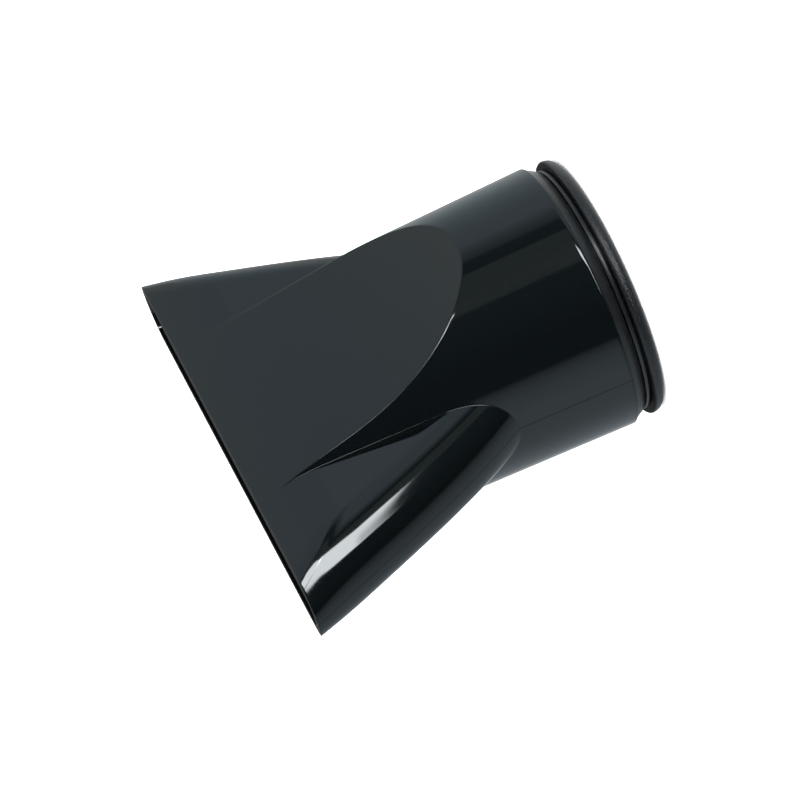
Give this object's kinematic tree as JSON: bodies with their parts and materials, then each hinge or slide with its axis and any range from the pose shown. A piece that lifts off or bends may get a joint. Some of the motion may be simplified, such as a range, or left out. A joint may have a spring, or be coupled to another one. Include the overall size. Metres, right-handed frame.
{
  "type": "hair dryer concentrator nozzle",
  "caption": "Wide hair dryer nozzle: a round barrel flattens into a slot between two side horns, with a lined airway and a turning coupling collar.",
  "frame": {"origin": "centre of the rear face of the coupling end, which the part stands on", "axes": "+Z along the air flow to the mouth, +X along the slot, +Y across the slot's thickness"},
  "size_m": [0.0944, 0.05, 0.0747],
  "materials": {
    "gloss_black_abs": "polished injection moulding",
    "lining_nylon": "fine spark-eroded texture",
    "satin_black_nylon": "satin moulding",
    "grained_elastomer": "fine matt grain",
    "spring_steel": "rolled strip"
  },
  "bodies": {
    "coupling": {"coupling_collar": "satin_black_nylon", "bead_ring": "grained_elastomer", "retaining_ring": "spring_steel"},
    "nozzle": {"upper_shell": "gloss_black_abs", "lower_shell": "gloss_black_abs", "upper_duct": "lining_nylon", "lower_duct": "lining_nylon", "end_ring": "satin_black_nylon"}
  },
  "joints": [
    {"name": "nozzle_turn", "type": "hinge", "parent": "coupling", "child": "nozzle", "pos_m": [0, 0, 0], "axis": [0, 0, 1], "continuous": true}
  ]
}
